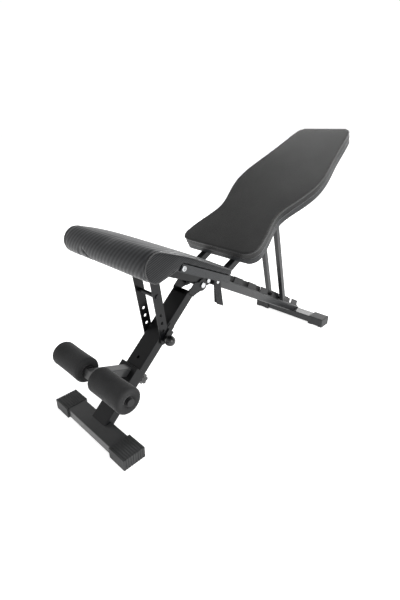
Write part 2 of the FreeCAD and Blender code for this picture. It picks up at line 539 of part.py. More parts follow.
# ==== backrest ======================================================================================
back = Line(back_y, back_z, BACK_ANGLE)
rail_top = RAIL_HEIGHT / 2
rail_length = BACK_START + BACK_LENGTH - RAIL_SHORT
for side, name in ((-1, "left"), (1, "right")):
    x0, x1 = sorted((side * (RAIL_X - RAIL_WIDTH / 2), side * (RAIL_X + RAIL_WIDTH / 2)))
    rail = back.bar(-16, rail_length, -rail_top, rail_top, x0, x1)
    rail = soften(rail, 2.5, lengthwise(V(0, back.e[0], back.e[1])))
    rail = rail.cut(back.bar(-30, rail_length - 2, -rail_top + 2, rail_top - 2, x0 + 2, x1 - 2))
    rail = rail.cut(back.rod(0, 0, HINGE_TUBE_R, x0 - 1, x1 + 1))
    parts["back_rail_" + name] = rail.cut(back.rod(PROP_PIVOT, 0, 9.0, x0 - 1, x1 + 1))
hw = RAIL_X + RAIL_WIDTH / 2
parts["hinge_tube"] = rod(back_y, back_z, HINGE_TUBE_R, -hw - 3, hw + 3).cut(
    rod(back_y, back_z, HINGE_TUBE_R - 2.5, -200, 200))
q_y, q_z = back.at(PROP_PIVOT, 0)
parts["prop_axle"] = rod(q_y, q_z, 9.0, -hw - 2, hw + 2).cut(rod(q_y, q_z, 6.5, -200, 200))
low_t = rail_top


def outline(t0, t1, shrink):
    """The hourglass outline of the backrest, as a closed smooth solid between two heights."""
    right = []
    for s, w in BACK_HALF:
        s = min(max(s * BACK_LENGTH, shrink), BACK_LENGTH - shrink)
        right.append(back.vec(w - shrink, BACK_START + s, t0))
    left = [V(-p.x, p.y, p.z) for p in right]
    left.reverse()
    edge_r = Part.BSplineCurve()
    edge_r.interpolate(right[1:-1])
    edge_l = Part.BSplineCurve()
    edge_l.interpolate(left[1:-1])
    wires = [Part.makeLine(right[0], right[1]), edge_r.toShape(), Part.makeLine(right[-2], right[-1]),
             Part.makeLine(right[-1], left[0]), Part.makeLine(left[0], left[1]), edge_l.toShape(),
             Part.makeLine(left[-2], left[-1]), Part.makeLine(left[-1], right[0])]
    return Part.Face(Part.Wire(wires)).extrude(V(0, back.n[0], back.n[1]) * (t1 - t0))


parts["back_board"] = outline(low_t, low_t + BACK_BOARD, BACK_INSET)
parts["back_cushion"] = outline(low_t + BACK_BOARD, low_t + BACK_THICK, 0.0)

# ==== prop ==========================================================================================
bar_s = RACK_START + PROP_NOTCH * RACK_PITCH + TOOTH_LENGTH + PROP_IN_NOTCH
bar_y, bar_z = beam.at(bar_s, b1 + PLATE + PROP_BAR_R + PROP_LIFT)
PROP_LENGTH = math.hypot(bar_y - q_y, bar_z - q_z)
prop = Line(q_y, q_z, math.degrees(math.atan2(bar_z - q_z, bar_y - q_y)))
for side, name in ((-1, "left"), (1, "right")):
    x0, x1 = sorted((side * (PROP_X - PROP_SIZE / 2), side * (PROP_X + PROP_SIZE / 2)))
    w = PROP_SIZE / 2
    leg = prop.bar(0, PROP_LENGTH + 7, -w, w, x0, x1)
    leg = join([leg, prop.rod(0, 0, 11.5, x0, x1)])
    leg = leg.cut(prop.rod(0, 0, 9.0 + RUN, x0 - 1, x1 + 1))
    parts["prop_leg_" + name] = leg.cut(prop.rod(PROP_LENGTH, 0, PROP_BAR_R, x0 - 1, x1 + 1))
parts["prop_bar"] = prop.rod(PROP_LENGTH, 0, PROP_BAR_R, -PROP_X - PROP_SIZE / 2, PROP_X + PROP_SIZE / 2)

for node, shape in parts.items():
    shape.exportStep("parts/%s.step" % node)
print(len(parts), "parts")
print("front_y", round(front_y, 2), "rear_y", round(rear_y, 2), "post_run", round(post_run, 2))
print("fold", round(fold_y, 2), round(fold_z, 2), "seat", round(seat_y, 2), round(seat_z, 2))
print("strut", round(strut_y, 2), round(strut_z, 2), "pin", round(pin_y, 2), round(pin_z, 2))
print("back", round(back_y, 2), round(back_z, 2), "prop", round(q_y, 2), round(q_z, 2))
by, bz = prop.at(PROP_LENGTH, 0)
print("bar", round(by, 2), round(bz, 2), "axle", round(ay, 2), round(az, 2))
ky, kz = post.at(HOLD_BOLT, 0)
print("knob", round(ky, 2), round(kz, 2), "post n", round(post.n[0], 5), round(post.n[1], 5))
boxes = [s.BoundBox for s in parts.values()]
print("Y", round(min(b.YMin for b in boxes), 2), round(max(b.YMax for b in boxes), 2),
      "Z", round(min(b.ZMin for b in boxes), 2), round(max(b.ZMax for b in boxes), 2),
      "X", round(min(b.XMin for b in boxes), 2), round(max(b.XMax for b in boxes), 2))
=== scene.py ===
# %% [markdown]
# A decline sit-up bench, dressed for its portrait. The steel frame arrives finished from the workshop model,
# so this lesson is about surfaces and soft goods: powder coat, ribbed seat vinyl, smooth backrest vinyl,
# foam rollers, rubber caps and a webbing strap. Everything is in metres, +Z up, in the bench's own frame.

# %% Load the finished frame
import bpy
import bmesh
import json
import math
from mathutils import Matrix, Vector
from mathutils.bvhtree import BVHTree


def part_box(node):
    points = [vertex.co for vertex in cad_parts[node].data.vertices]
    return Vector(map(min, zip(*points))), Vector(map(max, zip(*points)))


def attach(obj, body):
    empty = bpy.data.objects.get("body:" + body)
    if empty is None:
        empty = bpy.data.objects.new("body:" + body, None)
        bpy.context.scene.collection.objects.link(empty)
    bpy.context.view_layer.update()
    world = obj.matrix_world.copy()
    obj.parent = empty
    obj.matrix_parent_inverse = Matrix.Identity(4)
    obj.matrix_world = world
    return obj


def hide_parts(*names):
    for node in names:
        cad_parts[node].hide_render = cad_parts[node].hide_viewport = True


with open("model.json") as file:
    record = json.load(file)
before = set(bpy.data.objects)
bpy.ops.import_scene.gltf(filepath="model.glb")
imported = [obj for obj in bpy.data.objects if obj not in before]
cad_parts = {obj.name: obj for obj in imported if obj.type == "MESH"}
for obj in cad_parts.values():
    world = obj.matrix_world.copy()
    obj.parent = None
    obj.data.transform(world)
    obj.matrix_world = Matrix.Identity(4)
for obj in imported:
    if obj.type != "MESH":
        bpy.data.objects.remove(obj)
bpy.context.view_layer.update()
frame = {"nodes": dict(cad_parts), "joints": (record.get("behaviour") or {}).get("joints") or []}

nodes = frame["nodes"]
joints = {j["name"]: j for j in frame["joints"]}
SEAT_SLOPE = -24.4         # degrees: the seat falls towards its roll
BACK_SLOPE = 27.38         # degrees: the backrest rises towards its head

# %% [markdown]
# The camera stands in front and to the right of the bench, a little above the backrest, and looks down. A
# wide lens close by gives the strong perspective of a catalogue picture: the front foot looks large.

# %% Camera
cam_data = bpy.data.cameras.new("catalogue_camera")
cam_data.sensor_fit = "AUTO"
cam_data.sensor_width = 36.0
cam_data.lens = 22.84
cam_data.clip_start = 0.05
camera = bpy.data.objects.new("catalogue_camera", cam_data)
bpy.context.scene.collection.objects.link(camera)
camera.location = (0.8216, -1.0063, 0.8266)
camera.rotation_euler = (math.radians(90 - 24.64), 0.0, math.radians(43.7))
bpy.context.scene.camera = camera
print("camera at", tuple(round(v, 3) for v in camera.location))

# %% [markdown]
# The floor is one very large pale sheet that glows a little, like a lit table, so no edge or horizon shows.
# Black paint shows whatever it mirrors, so the room matters more than the lamps: bright all round at eye
# level and dim overhead, which keeps the upward faces deep and draws long pale edges on the sides. Two big
# soft panels add the streaks along the roll and the steel.

# %% Floor and light
def plain_material(name, colour, rough):
    m = bpy.data.materials.new(name)
    m.use_nodes = True
    b = m.node_tree.nodes["Principled BSDF"]
    b.inputs["Base Color"].default_value = (*colour, 1)
    b.inputs["Roughness"].default_value = rough
    return m


floor_mesh = bpy.data.meshes.new("floor")
floor_mesh.from_pydata([(-30, -30, 0), (30, -30, 0), (30, 30, 0), (-30, 30, 0)], [], [(0, 1, 2, 3)])
floor = bpy.data.objects.new("floor", floor_mesh)
bpy.context.scene.collection.objects.link(floor)
pale = plain_material("pale_floor", (0.85, 0.85, 0.85), 0.8)
pale.node_tree.nodes["Principled BSDF"].inputs["Emission Color"].default_value = (1, 1, 1, 1)
pale.node_tree.nodes["Principled BSDF"].inputs["Emission Strength"].default_value = 0.72
floor_mesh.materials.append(pale)


def soft_panel(name, place, aim, size, power):
    data = bpy.data.lights.new(name, "AREA")
    data.shape = "RECTANGLE"
    data.size, data.size_y = size
    data.energy = power
    lamp = bpy.data.objects.new(name, data)
    bpy.context.scene.collection.objects.link(lamp)
    lamp.location = place
    lamp.rotation_euler = (Vector(aim) - Vector(place)).to_track_quat("-Z", "Y").to_euler()
    return lamp


soft_panel("panel_back", (-0.6, 2.6, 1.7), (0, -0.3, 0.5), (2.6, 1.2), 52)
soft_panel("panel_right", (3.0, -0.4, 1.2), (0, -0.1, 0.3), (1.4, 2.0), 36)
soft_panel("panel_above", (0.6, 0.6, 3.2), (0, 0, 0.3), (1.6, 1.6), 40)
world = bpy.data.worlds.new("studio")
bpy.context.scene.world = world
world.use_nodes = True
room_tree = world.node_tree
sky = room_tree.nodes["Background"]
sky_at = room_tree.nodes.new("ShaderNodeTexCoord")
sky_split = room_tree.nodes.new("ShaderNodeSeparateXYZ")
sky_fade = room_tree.nodes.new("ShaderNodeMapRange")
sky_fade.interpolation_type = "SMOOTHSTEP"
room_tree.links.new(sky_at.outputs["Generated"], sky_split.inputs[0])
room_tree.links.new(sky_split.outputs[2], sky_fade.inputs["Value"])
sky_fade.inputs["From Min"].default_value = 0.27
sky_fade.inputs["From Max"].default_value = 0.62
sky_fade.inputs["To Min"].default_value = 1.02
sky_fade.inputs["To Max"].default_value = 0.42
room_tree.links.new(sky_fade.outputs[0], sky.inputs["Strength"])
sky.inputs["Color"].default_value = (1.0, 1.0, 1.0, 1)
bpy.context.scene.view_settings.view_transform = "Standard"
print("lamps", len(bpy.data.lights))

# %% [markdown]
# Several finishes share the same small effects, so each effect is a node group that is built once and used
# with its own numbers: a fine grain for moulded and coated surfaces, a ribbed weave for the seat, a leather
# grain for the backrest and a light dust that settles on what faces up. A group only puts out masks and
# heights; the shader itself stays in each material.

# %% Helpers for node trees
def link(tree, a, b):
    tree.links.new(a, b)


def new_group(name, ins, outs):
    g = bpy.data.node_groups.new(name, "ShaderNodeTree")
    for n, kind, val in ins:
        s = g.interface.new_socket(name=n, in_out="INPUT", socket_type=kind)
        if val is not None:
            s.default_value = val
    for n, kind in outs:
        g.interface.new_socket(name=n, in_out="OUTPUT", socket_type=kind)
    return g, g.nodes.new("NodeGroupInput"), g.nodes.new("NodeGroupOutput")


def maths(tree, op, a, b=None, clamp=False):
    n = tree.nodes.new("ShaderNodeMath")
    n.operation = op
    n.use_clamp = clamp
    for i, v in enumerate((a, b)):
        if v is None:
            continue
        if isinstance(v, (int, float)):
            n.inputs[i].default_value = v
        else:
            link(tree, v, n.inputs[i])
    return n.outputs[0]


# %% Fine grain: two sizes of noise, one for bump and one for slow changes of gloss
FLOAT, VECTOR = "NodeSocketFloat", "NodeSocketVector"
grain, gi, go = new_group("fine_grain", [("Vector", VECTOR, None), ("Scale", FLOAT, 900.0),
                                         ("Cloud Scale", FLOAT, 9.0)],
                          [("Height", FLOAT), ("Cloud", FLOAT)])
fine = grain.nodes.new("ShaderNodeTexNoise")
fine.inputs["Detail"].default_value = 3.0
link(grain, gi.outputs["Vector"], fine.inputs["Vector"])
link(grain, gi.outputs["Scale"], fine.inputs["Scale"])
cloud = grain.nodes.new("ShaderNodeTexNoise")
cloud.inputs["Detail"].default_value = 4.0
link(grain, gi.outputs["Vector"], cloud.inputs["Vector"])
link(grain, gi.outputs["Cloud Scale"], cloud.inputs["Scale"])
link(grain, fine.outputs["Fac"], go.inputs["Height"])
link(grain, cloud.outputs["Fac"], go.inputs["Cloud"])

# %% Ribbed weave: fine ribs run round the roll and slant across its ends
BAND_PITCH = 0.0145        # metres from one wide band to the next
BAND_LEAN = 0.55           # how strongly the wide bands slant
weave, wi, wo = new_group("ribbed_weave", [("Vector", VECTOR, None), ("Across", FLOAT, 130.0),
                                           ("Slant", FLOAT, 140.0), ("Cross", FLOAT, 520.0)],
                          [("Rib", FLOAT), ("Thread", FLOAT), ("Band", FLOAT)])
sep = weave.nodes.new("ShaderNodeSeparateXYZ")
link(weave, wi.outputs["Vector"], sep.inputs[0])
across = maths(weave, "MULTIPLY", sep.outputs[0], wi.outputs["Across"])
lean = maths(weave, "SUBTRACT", sep.outputs[1], sep.outputs[2])
slant = maths(weave, "MULTIPLY", lean, wi.outputs["Slant"])
turn = maths(weave, "MULTIPLY", maths(weave, "ADD", across, slant), 2 * math.pi)
rib = maths(weave, "ADD", maths(weave, "MULTIPLY", maths(weave, "SINE", turn), 0.5), 0.5)
thread_in = maths(weave, "MULTIPLY", lean, wi.outputs["Cross"])
thread_x = maths(weave, "MULTIPLY", sep.outputs[0], wi.outputs["Cross"])
thread = maths(weave, "MULTIPLY", maths(weave, "SINE", maths(weave, "MULTIPLY", thread_in, 2 * math.pi)),
               maths(weave, "SINE", maths(weave, "MULTIPLY", thread_x, 2 * math.pi)))
band_turn = maths(weave, "ADD", maths(weave, "MULTIPLY", sep.outputs[0], 2 * math.pi / BAND_PITCH),
                  maths(weave, "MULTIPLY", lean, BAND_LEAN * 2 * math.pi / BAND_PITCH))
band = maths(weave, "ADD", maths(weave, "MULTIPLY", maths(weave, "SINE", band_turn), 0.5), 0.5)
link(weave, band, wo.inputs["Band"])
link(weave, rib, wo.inputs["Rib"])
link(weave, maths(weave, "ADD", maths(weave, "MULTIPLY", thread, 0.5), 0.5), wo.inputs["Thread"])

# %% Leather grain: small cells with soft creases between them
hide, hi, ho = new_group("leather_grain", [("Vector", VECTOR, None), ("Scale", FLOAT, 420.0)],
                         [("Crease", FLOAT), ("Cloud", FLOAT)])
cell = hide.nodes.new("ShaderNodeTexVoronoi")
cell.feature = "DISTANCE_TO_EDGE"
link(hide, hi.outputs["Vector"], cell.inputs["Vector"])
link(hide, hi.outputs["Scale"], cell.inputs["Scale"])
soft = hide.nodes.new("ShaderNodeTexNoise")
soft.inputs["Scale"].default_value = 14.0
soft.inputs["Detail"].default_value = 5.0
link(hide, hi.outputs["Vector"], soft.inputs["Vector"])
crease = maths(hide, "MINIMUM", maths(hide, "MULTIPLY", cell.outputs["Distance"], 6.0), 1.0)
link(hide, crease, ho.inputs["Crease"])
link(hide, soft.outputs["Fac"], ho.inputs["Cloud"])

# %% Settled dust: a mask on what faces up, broken by noise
dust, di, do = new_group("settled_dust", [("Vector", VECTOR, None), ("Amount", FLOAT, 0.2)],
                         [("Mask", FLOAT)])
geo = dust.nodes.new("ShaderNodeNewGeometry")
up = dust.nodes.new("ShaderNodeSeparateXYZ")
link(dust, geo.outputs["Normal"], up.inputs[0])
speck = dust.nodes.new("ShaderNodeTexNoise")
speck.inputs["Scale"].default_value = 60.0
speck.inputs["Detail"].default_value = 6.0
link(dust, di.outputs["Vector"], speck.inputs["Vector"])
facing = maths(dust, "MAXIMUM", up.outputs[2], 0.0)
broken = maths(dust, "MULTIPLY", facing, speck.outputs["Fac"])
link(dust, maths(dust, "MULTIPLY", broken, di.outputs["Amount"], clamp=True), do.inputs["Mask"])


# %% A base for every material: object coordinates, a shader, and room for groups
def start(name, metallic=0.0, coat=0.0, coat_rough=0.1, specular=0.5, turn_x=0.0):
    m = bpy.data.materials.new(name)
    m.use_nodes = True
    t = m.node_tree
    b = t.nodes["Principled BSDF"]
    b.inputs["Metallic"].default_value = metallic
    b.inputs["Coat Weight"].default_value = coat
    b.inputs["Coat Roughness"].default_value = coat_rough
    b.inputs["Specular IOR Level"].default_value = specular
    c = t.nodes.new("ShaderNodeTexCoord")
    mp = t.nodes.new("ShaderNodeMapping")
    mp.inputs["Rotation"].default_value = (turn_x, 0, 0)
    link(t, c.outputs["Object"], mp.inputs["Vector"])
    return m, t, b, mp.outputs["Vector"]


def use(tree, group, vector, **values):
    n = tree.nodes.new("ShaderNodeGroup")
    n.node_tree = group
    link(tree, vector, n.inputs["Vector"])
    for k, v in values.items():
        n.inputs[k.replace("_", " ")].default_value = v
    return n


def ramp(tree, fac, dark, light, lo=0.0, hi=1.0):
    r = tree.nodes.new("ShaderNodeValToRGB")
    r.color_ramp.elements[0].position = lo
    r.color_ramp.elements[1].position = hi
    r.color_ramp.elements[0].color = (*dark, 1)
    r.color_ramp.elements[1].color = (*light, 1)
    link(tree, fac, r.inputs[0])
    return r.outputs[0]


def mix(tree, fac, a, b):
    n = tree.nodes.new("ShaderNodeMix")
    n.data_type = "RGBA"
    for sock, v in ((n.inputs[0], fac), (n.inputs[6], a), (n.inputs[7], b)):
        if isinstance(v, float):
            sock.default_value = v
        elif isinstance(v, tuple):
            sock.default_value = (*v, 1)
        else:
            link(tree, v, sock)
    return n.outputs[2]


def bump(tree, shader, height, strength, distance):
    n = tree.nodes.new("ShaderNodeBump")
    n.inputs["Strength"].default_value = strength
    n.inputs["Distance"].default_value = distance
    link(tree, height, n.inputs["Height"])
    link(tree, n.outputs["Normal"], shader.inputs["Normal"])


def spread(tree, fac, lo, hi):
    n = tree.nodes.new("ShaderNodeMapRange")
    n.inputs["To Min"].default_value = lo
    n.inputs["To Max"].default_value = hi
    link(tree, fac, n.inputs["Value"])
    return n.outputs[0]


# %% [markdown]
# Powder coat is a baked plastic skin on steel. It isn't a mirror: a very fine orange-peel texture spreads
# each reflection, and a little dust greys the tops. A dielectric shader with a thin coat gives that better
# than a metallic one, because the paint hides the metal.

# %% Powder coat, chrome and bare steel
def coated_paint(name, dark, light, rough, coat, spec):
    m, t, b, v = start(name, coat=coat, coat_rough=0.14, specular=spec)
    g = use(t, grain, v, Scale=700.0, Cloud_Scale=7.0)
    d = use(t, dust, v, Amount=0.05)
    base = ramp(t, g.outputs["Cloud"], dark, light, 0.3, 0.75)
    link(t, mix(t, d.outputs["Mask"], base, (0.16, 0.16, 0.155)), b.inputs["Base Color"])
    link(t, spread(t, g.outputs["Cloud"], rough - 0.05, rough + 0.07), b.inputs["Roughness"])
    bump(t, b, g.outputs["Height"], 0.25, 0.0004)
    return m


paint = coated_paint("powder_coat_black", (0.0025, 0.0027, 0.0031), (0.0055, 0.006, 0.007), 0.33, 0.14, 0.18)
# painted light: a lighter copy of the same black powder coat, so the beam, rear foot, props and roller axle
# read as lit along their sides
paint_lit_sides_copy = coated_paint("powder_coat_painted_lit_sides", (0.009, 0.0095, 0.0105), (0.019, 0.0203, 0.0222),
                          0.32, 0.24, 0.32)
# painted light: a still lighter copy of the same black powder coat, so the front foot and the leg-hold arm read
# as brightly lit
paint_brightly_lit_copy = coated_paint("powder_coat_painted_bright_light", (0.022, 0.0225, 0.023), (0.036, 0.0368, 0.0376),
                          0.36, 0.24, 0.40)


def plated(name, colour, rough):
    m, t, b, v = start(name, metallic=1.0)
    g = use(t, grain, v, Scale=1400.0, Cloud_Scale=60.0)
    tarnished = tuple(c * 0.8 for c in colour)
    link(t, ramp(t, g.outputs["Cloud"], tarnished, colour, 0.3, 0.7), b.inputs["Base Color"])
    link(t, spread(t, g.outputs["Cloud"], rough, rough + 0.12), b.inputs["Roughness"])
    bump(t, b, g.outputs["Height"], 0.1, 0.0002)
    return m


chrome = plated("bright_plating", (0.55, 0.56, 0.57), 0.12)
steel = plated("bare_steel", (0.42, 0.43, 0.44), 0.30)


# %% [markdown]
# The caps, plugs and knobs are moulded. Rubber is dull with a fine skin, the ball and the clamp knob are
# polished and catch a small sharp window of light, and the foam is open and dark with pin-sized pores.

# %% Rubber, plastics and foam
def moulded(name, dark, light, rough, scale, depth, coat=0.0, dusty=0.06):
    m, t, b, v = start(name, coat=coat, coat_rough=0.06, specular=0.3)
    g = use(t, grain, v, Scale=scale, Cloud_Scale=22.0)
    d = use(t, dust, v, Amount=dusty)
    base = ramp(t, g.outputs["Cloud"], dark, light, 0.3, 0.7)
    link(t, mix(t, d.outputs["Mask"], base, (0.15, 0.15, 0.145)), b.inputs["Base Color"])
    link(t, spread(t, g.outputs["Height"], rough - 0.06, rough + 0.08), b.inputs["Roughness"])
    bump(t, b, g.outputs["Height"], 0.45, depth)
    return m


rubber = moulded("cap_rubber", (0.020, 0.0205, 0.021), (0.038, 0.039, 0.040), 0.55, 500.0, 0.0006)
plug_plastic = moulded("plug_plastic", (0.008, 0.008, 0.0085), (0.016, 0.016, 0.017), 0.45, 800.0, 0.0003)
knob_plastic = moulded("polished_knob", (0.003, 0.003, 0.0035), (0.006, 0.006, 0.0065), 0.16, 1200.0, 0.0001,
                       coat=0.5, dusty=0.02)

foam, ft, fb, fv = start("roller_foam", specular=0.2)
pores = ft.nodes.new("ShaderNodeTexVoronoi")
pores.inputs["Scale"].default_value = 650.0
link(ft, fv, pores.inputs["Vector"])
fg = use(ft, grain, fv, Scale=320.0, Cloud_Scale=12.0)
foam_colour = ramp(ft, fg.outputs["Cloud"], (0.018, 0.0182, 0.0185), (0.030, 0.0302, 0.031), 0.3, 0.7)
link(ft, foam_colour, fb.inputs["Base Color"])
link(ft, spread(ft, pores.outputs["Distance"], 0.78, 0.95), fb.inputs["Roughness"])
bump(ft, fb, maths(ft, "ADD", pores.outputs["Distance"], fg.outputs["Height"]), 0.5, 0.0007)
fb.inputs["Sheen Weight"].default_value = 0.12
fb.inputs["Sheen Roughness"].default_value = 0.4

# %% [markdown]
# The seat's vinyl is printed and embossed like woven carbon: light and dark ribs a few millimetres wide that
# circle the roll and slant across its ends. The ribs are a rule, not a picture, so they are computed from the
# position in the seat's own tilted frame. The backrest is plain soft vinyl with a fine hide grain.

# %% Seat vinyl, backrest vinyl, board vinyl and webbing
seat_vinyl, st, sb, sv = start("ribbed_seat_vinyl", coat=0.05, coat_rough=0.25, specular=0.22,
                               turn_x=math.radians(-SEAT_SLOPE))
sw = use(st, weave, sv, Across=118.0, Slant=141.0, Cross=430.0)
sg = use(st, grain, sv, Scale=600.0, Cloud_Scale=8.0)
flat_end = st.nodes.new("ShaderNodeNewGeometry")
flat_split = st.nodes.new("ShaderNodeSeparateXYZ")
link(st, flat_end.outputs["Normal"], flat_split.inputs[0])
on_end = maths(st, "GREATER_THAN", maths(st, "ABSOLUTE", flat_split.outputs[0]), 0.85)
rib_dark = ramp(st, sw.outputs["Rib"], (0.0004, 0.0004, 0.0005), (0.017, 0.0185, 0.021), 0.5, 0.85)
band_colour = ramp(st, sw.outputs["Band"], (0.0085, 0.0088, 0.0093), (0.036, 0.038, 0.0415), 0.1, 0.95)
thread_colour = mix(st, sw.outputs["Thread"], (0.008, 0.0083, 0.009), (0.024, 0.025, 0.027))
body_colour = mix(st, 0.45, band_colour, thread_colour)
link(st, mix(st, on_end, body_colour, rib_dark), sb.inputs["Base Color"])
link(st, spread(st, sw.outputs["Band"], 0.48, 0.34), sb.inputs["Roughness"])
bump(st, sb, maths(st, "ADD", maths(st, "MULTIPLY", sw.outputs["Rib"], on_end),
                   maths(st, "MULTIPLY", sw.outputs["Thread"], 0.4)), 0.35, 0.0006)


def soft_vinyl(name, dark, light, rough, scale, coat):
    m, t, b, v = start(name, coat=coat, coat_rough=0.35, specular=0.3)
    g = use(t, hide, v, Scale=scale)
    d = use(t, dust, v, Amount=0.03)
    base = ramp(t, g.outputs["Cloud"], dark, light, 0.3, 0.7)
    link(t, mix(t, d.outputs["Mask"], base, (0.12, 0.12, 0.12)), b.inputs["Base Color"])
    link(t, spread(t, g.outputs["Crease"], rough + 0.1, rough), b.inputs["Roughness"])
    bump(t, b, g.outputs["Crease"], 0.3, 0.0005)
    return m


back_vinyl = soft_vinyl("smooth_back_vinyl", (0.010, 0.010, 0.010), (0.0155, 0.0155, 0.0152), 0.43, 460.0, 0.05)
board_vinyl = soft_vinyl("board_vinyl", (0.012, 0.013, 0.0145), (0.020, 0.0215, 0.0235), 0.42, 620.0, 0.1)
edge_vinyl = soft_vinyl("edge_bead_vinyl", (0.008, 0.008, 0.0085), (0.014, 0.014, 0.0145), 0.24, 700.0, 0.9)

thread_grey, tt, tb, tv = start("sewing_thread", specular=0.3)
tg = use(tt, grain, tv, Scale=1800.0, Cloud_Scale=90.0)
link(tt, ramp(tt, tg.outputs["Cloud"], (0.042, 0.042, 0.043), (0.078, 0.078, 0.081)), tb.inputs["Base Color"])
link(tt, spread(tt, tg.outputs["Cloud"], 0.55, 0.75), tb.inputs["Roughness"])

webbing, wt, wb, wv = start("strap_webbing", specular=0.3)
ww = use(wt, weave, wv, Across=0.0, Slant=420.0, Cross=640.0)
link(wt, ramp(wt, ww.outputs["Thread"], (0.010, 0.010, 0.0105), (0.034, 0.034, 0.036)), wb.inputs["Base Color"])
link(wt, spread(wt, ww.outputs["Rib"], 0.7, 0.9), wb.inputs["Roughness"])
bump(wt, wb, maths(wt, "ADD", ww.outputs["Rib"], ww.outputs["Thread"]), 0.6, 0.0005)

# %% [markdown]
# Each piece of the workshop model gets its finish through its material slots; its mesh is left as it is. The
# list below is by finish, the way a paint shop sorts its racks.

# %% Give the steel and the mouldings their finishes
finishes = {
    paint: ["front_post", "rack_left", "rack_right", "cheek_left", "cheek_right", "seat_frame", "strut_left",
            "strut_right", "strut_tie_bolt", "pin_bracket", "leg_hold_channel", "leg_hold_spacer",
            "hinge_bracket_left", "hinge_bracket_right", "back_rail_left", "back_rail_right", "hinge_tube",
            "prop_axle", "ear_left", "ear_right", "strut_spacers", "fold_spacer", "prop_bar"],
    paint_brightly_lit_copy: ["front_foot_tube", "leg_hold_arm"],
    paint_lit_sides_copy: ["main_beam", "rear_foot_tube", "prop_leg_left", "prop_leg_right", "roller_axle"],
    rubber: ["front_foot_cap_left", "front_foot_cap_right", "rear_foot_cap_left", "rear_foot_cap_right"],
    plug_plastic: ["axle_plug_left", "axle_plug_right", "axle_collars", "roller_sleeve_left",
                   "roller_sleeve_right"],
    knob_plastic: ["pin_ball", "hand_knob"],
    chrome: ["fold_bolt", "seat_bolt", "strap_bolt"],
    steel: ["pull_pin", "knob_stud", "strut_bolt"],
    board_vinyl: ["seat_board", "back_board"],
}
for material, names in finishes.items():
    for n in names:
        data = nodes[n].data
        data.materials.clear()
        data.materials.append(material)
print("finished", sum(len(v) for v in finishes.values()), "pieces")


# %% [markdown]
# A local frame saves a lot of arithmetic. The seat and the backrest are both tilted boards, so a point is
# given as x across, s along the board and t square to it, measured from the piece's own hinge.

# %% Local frames for the tilted pads
class Tilted:
    def __init__(self, joint, degrees):
        self.o = Vector(joints[joint]["pos_m"])
        a = math.radians(degrees)
        self.e = Vector((0, math.cos(a), math.sin(a)))
        self.n = Vector((0, -math.sin(a), math.cos(a)))

    def at(self, x, s, t):
        return self.o + Vector((x, 0, 0)) + self.e * s + self.n * t

    def local(self, p):
        d = p - self.o
        return p.x, d.dot(self.e), d.dot(self.n)


seat = Tilted("seat_hinge", SEAT_SLOPE)
back = Tilted("backrest_hinge", BACK_SLOPE)


def mesh_object(name, mesh, *materials):
    ob = bpy.data.objects.new(name, mesh)
    bpy.context.scene.collection.objects.link(ob)
    for m in materials:
        mesh.materials.append(m)
    return ob


def smooth(ob):
    for p in ob.data.polygons:
        p.use_smooth = True


# %% [markdown]
# A padded piece is foam under a skin that is pulled tight at its seams, so the skin domes between them. One
# could model the dome by hand, but a short cloth simulation with a little air pressure gives the right
# tension round every corner. The shape starts slightly small, is pinned where it rests on its board, swells,
# and its movement is held softly under a set cap.

# %% The pad recipe
CLOTH_FRAMES = 20
EVENING_ROUNDS = 14


def padded_copy(name, node, shrink, pressure, cap, pinned, rounds, voxel=0.005):
    mesh = nodes[node].data.copy()
    mesh.materials.clear()
    ob = mesh_object(name, mesh)
    bm = bmesh.new()
    bm.from_mesh(mesh)
    bmesh.ops.remove_doubles(bm, verts=bm.verts, dist=1e-5)
    bm.to_mesh(mesh)
    bm.free()
    rm = ob.modifiers.new("even_net", "REMESH")
    rm.mode = "VOXEL"
    rm.voxel_size = voxel
    dg = bpy.context.evaluated_depsgraph_get()
    fine_mesh = bpy.data.meshes.new_from_object(ob.evaluated_get(dg))
    ob.modifiers.clear()
    ob.data = fine_mesh
    bm = bmesh.new()
    bm.from_mesh(fine_mesh)
    for _ in range(rounds):
        bmesh.ops.smooth_vert(bm, verts=bm.verts, factor=0.5,
                              use_axis_x=True, use_axis_y=True, use_axis_z=True)
    bm.normal_update()
    for v in bm.verts:
        v.co -= v.normal * shrink
    bm.to_mesh(fine_mesh)
    neighbours = [[e.other_vert(v).index for e in v.link_edges] for v in bm.verts]
    bm.free()
    first = [v.co.copy() for v in fine_mesh.vertices]
    hold = [pinned(p) for p in first]
    grp = ob.vertex_groups.new(name="held")
    for k, w in enumerate(hold):
        if w > 0:
            grp.add([k], w, "REPLACE")
    cl = ob.modifiers.new("skin", "CLOTH")
    cl.settings.quality = 5
    cl.settings.mass = 0.3
    cl.settings.tension_stiffness = 80
    cl.settings.compression_stiffness = 80
    cl.settings.shear_stiffness = 60
    cl.settings.bending_stiffness = 6
    cl.settings.air_damping = 2.0
    cl.settings.use_pressure = True
    cl.settings.uniform_pressure_force = pressure
    cl.settings.effector_weights.gravity = 0.0
    cl.settings.vertex_group_mass = "held"
    cl.point_cache.frame_start = 1
    cl.point_cache.frame_end = CLOTH_FRAMES
    cl.collision_settings.use_collision = False
    for f in range(1, CLOTH_FRAMES + 1):
        bpy.context.scene.frame_set(f)
    dg = bpy.context.evaluated_depsgraph_get()
    swollen = [v.co.copy() for v in ob.evaluated_get(dg).data.vertices]
    ob.modifiers.clear()
    bpy.context.scene.frame_set(1)
    # the swell is limited softly, then evened out from point to point so that no crumple is left
    swell = []
    for a, b, w in zip(first, swollen, hold):
        d = b - a
        swell.append(d * (cap / (cap + d.length)) * (1.0 - w))
    for _ in range(EVENING_ROUNDS):
        swell = [(swell[k] * 0.5 + sum((swell[m] for m in near), Vector()) * (0.5 / len(near)))
                 * (1.0 - hold[k]) for k, near in enumerate(neighbours)]
    for v, a, d in zip(fine_mesh.vertices, first, swell):
        v.co = a + d
    print(name, "largest swell", round(max(d.length for d in swell) * 1000, 1), "mm")
    return ob


